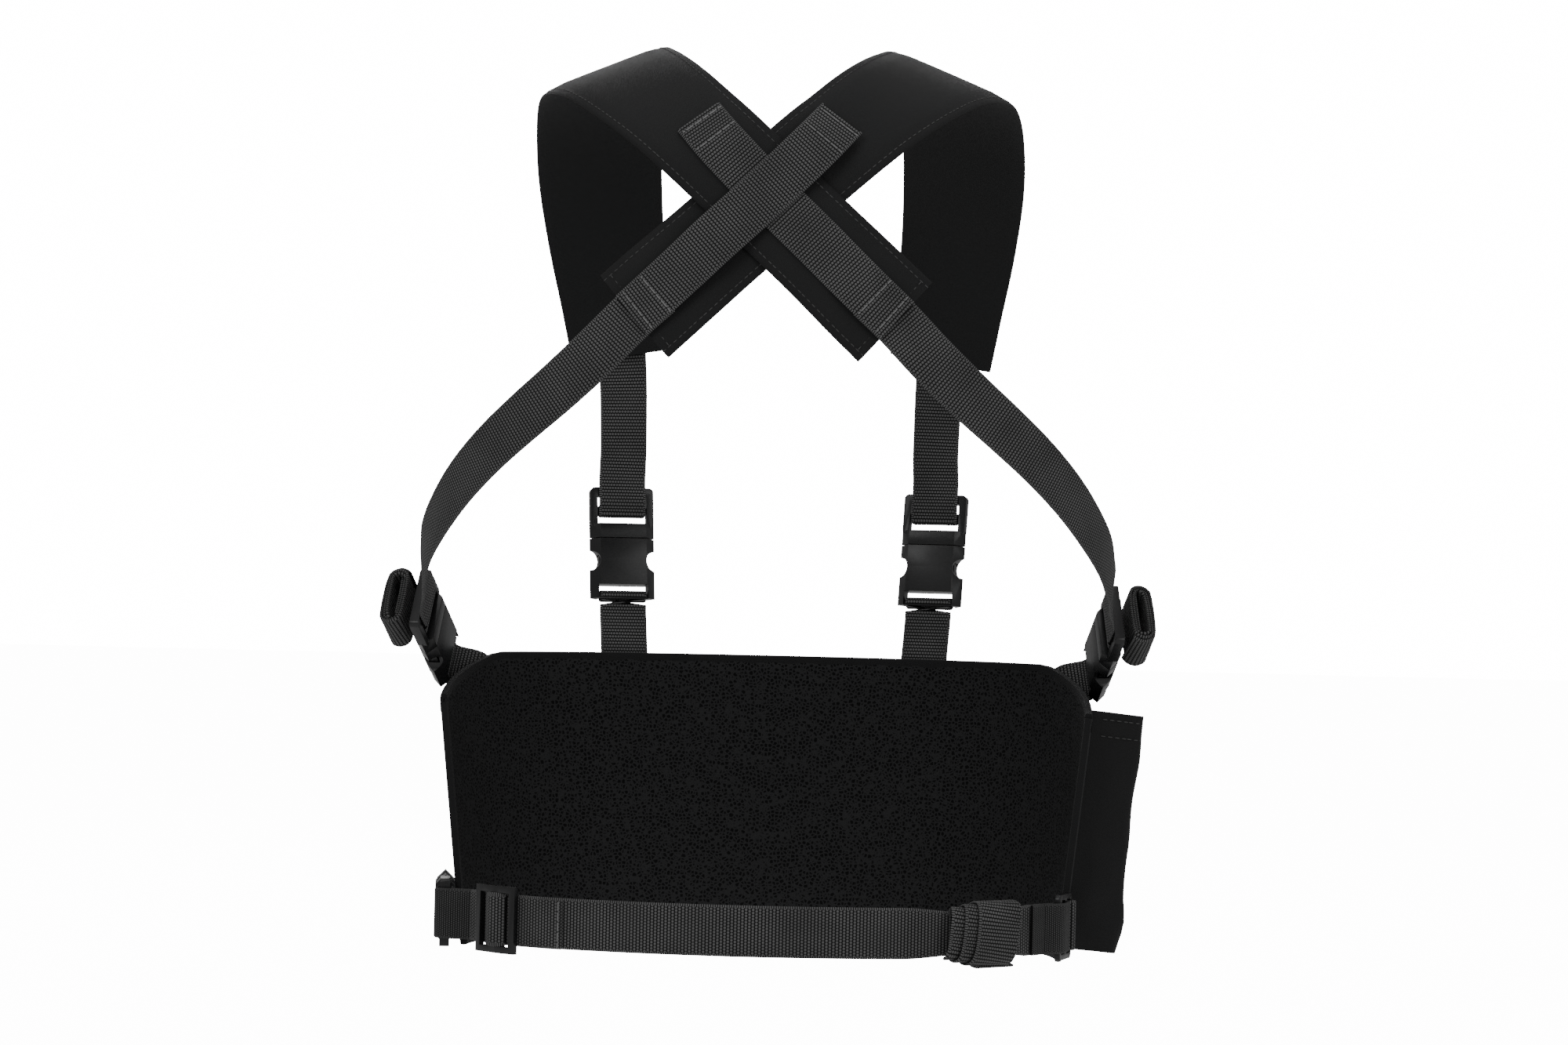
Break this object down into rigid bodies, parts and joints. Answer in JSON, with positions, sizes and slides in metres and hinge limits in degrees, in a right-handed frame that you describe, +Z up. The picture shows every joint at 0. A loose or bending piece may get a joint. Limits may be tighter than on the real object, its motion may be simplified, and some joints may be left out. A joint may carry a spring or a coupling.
{
  "type": "chest rig harness",
  "caption": "Low-profile chest rig worn on crossed shoulder yokes, with a curved pouch panel, webbing straps and release buckles.",
  "frame": {"origin": "on the wearer's upright axis, level with the middle of the waist strap", "axes": "+Z up; the wearer faces -Y; +X is the wearer's left"},
  "size_m": [0.3922, 0.2719, 0.4537],
  "materials": {
    "webbing": "matt ribbed nylon webbing",
    "yoke_laminate": "matt smooth laminated nylon",
    "lining": "matt woven lining",
    "foam": "closed-cell foam",
    "mesh": "knitted spacer mesh",
    "stiffener": "thin polyethylene sheet",
    "pack_fabric": "matt coated nylon",
    "hook": "moulded hook tape",
    "loop": "brushed loop tape",
    "buckle": "satin moulded acetal",
    "grey_tab": "light grey nylon tape"
  },
  "bodies": {
    "rig": {"flap_strips": "pack_fabric", "front_anchor_left": "webbing", "front_anchor_right": "webbing", "front_shell_left": "buckle", "front_shell_right": "buckle", "front_strap_left": "webbing", "front_strap_right": "webbing", "panel_face": "pack_fabric", "panel_liner": "mesh", "panel_stiffener": "stiffener", "pouch_centre": "pack_fabric", "pouch_left": "pack_fabric", "pouch_loops": "loop", "pouch_right": "pack_fabric", "side_anchor_left": "webbing", "side_anchor_right": "webbing", "side_lead_left": "webbing", "side_lead_right": "webbing", "side_pouch": "pack_fabric", "side_pouch_strap": "webbing", "side_pouch_tab": "grey_tab", "side_shell_left": "buckle", "side_shell_right": "buckle", "side_strap_left": "webbing", "side_strap_right": "webbing", "waist_anchor_left": "webbing", "waist_anchor_right": "webbing", "waist_lead_left": "webbing", "waist_lead_right": "webbing", "waist_return": "webbing", "waist_shell": "buckle", "waist_strap": "webbing", "waist_tail_right": "webbing", "waist_wrap": "webbing", "yoke_left_face": "yoke_laminate", "yoke_left_foam": "foam", "yoke_left_lining": "lining", "yoke_right_face": "yoke_laminate", "yoke_right_foam": "foam", "yoke_right_lining": "lining", "yoke_webbing_left": "webbing", "yoke_webbing_right": "webbing"},
    "tongue_side_left": {"side_tongue_left": "buckle", "side_tail_left": "webbing"},
    "tongue_side_right": {"side_tongue_right": "buckle", "side_tail_right": "webbing"},
    "tongue_front_left": {"front_tongue_left": "buckle"},
    "tongue_front_right": {"front_tongue_right": "buckle"},
    "tongue_waist": {"waist_tongue": "buckle"},
    "ladder_lock": {"waist_ladder_lock": "buckle"},
    "slider": {"triglide": "buckle", "triglide_webbing": "webbing"},
    "cover_left": {"flap_left": "pack_fabric", "flap_hook_left": "hook"},
    "cover_centre": {"flap_centre": "pack_fabric", "flap_hook_centre": "hook"},
    "cover_right": {"flap_right": "pack_fabric", "flap_hook_right": "hook"}
  },
  "joints": [
    {"name": "side_release_left", "type": "slide", "parent": "rig", "child": "tongue_side_left", "axis": [0.16, 0.8233, 0.5446], "range_m": [0, 0.026], "deforming": ["side_lead_left"]},
    {"name": "side_release_right", "type": "slide", "parent": "rig", "child": "tongue_side_right", "axis": [-0.16, 0.8233, 0.5446], "range_m": [0, 0.026], "deforming": ["side_lead_right"]},
    {"name": "front_release_left", "type": "slide", "parent": "rig", "child": "tongue_front_left", "axis": [0.0467, -0.1673, 0.9848], "range_m": [0, 0.026], "deforming": ["front_strap_left"]},
    {"name": "front_release_right", "type": "slide", "parent": "rig", "child": "tongue_front_right", "axis": [-0.0467, -0.1673, 0.9848], "range_m": [0, 0.026], "deforming": ["front_strap_right"]},
    {"name": "waist_release", "type": "slide", "parent": "rig", "child": "tongue_waist", "axis": [-0.1045, 0.9945, 0], "range_m": [0, 0.026], "deforming": ["waist_lead_left"]},
    {"name": "ladder_lock_tip", "type": "hinge", "parent": "rig", "child": "ladder_lock", "pos_m": [-0.15461, 0.01581, 0], "axis": [0, 0, 1], "range_deg": [0, 30], "deforming": ["waist_lead_right"]},
    {"name": "slider_travel", "type": "hinge", "parent": "rig", "child": "slider", "pos_m": [0.06, 0, 0], "axis": [0, 0, 1], "range_deg": [-5, 5]},
    {"name": "flap_lift_left", "type": "hinge", "parent": "rig", "child": "cover_left", "pos_m": [0.10306, -0.10304, 0.10983], "axis": [-0.9017, -0.4323, 0], "range_deg": [0, 90]},
    {"name": "flap_lift_centre", "type": "hinge", "parent": "rig", "child": "cover_centre", "pos_m": [0, -0.12153, 0.10983], "axis": [-1, 0, 0], "range_deg": [0, 90]},
    {"name": "flap_lift_right", "type": "hinge", "parent": "rig", "child": "cover_right", "pos_m": [-0.10306, -0.10304, 0.10983], "axis": [-0.9017, 0.4323, 0], "range_deg": [0, 90]}
  ]
}
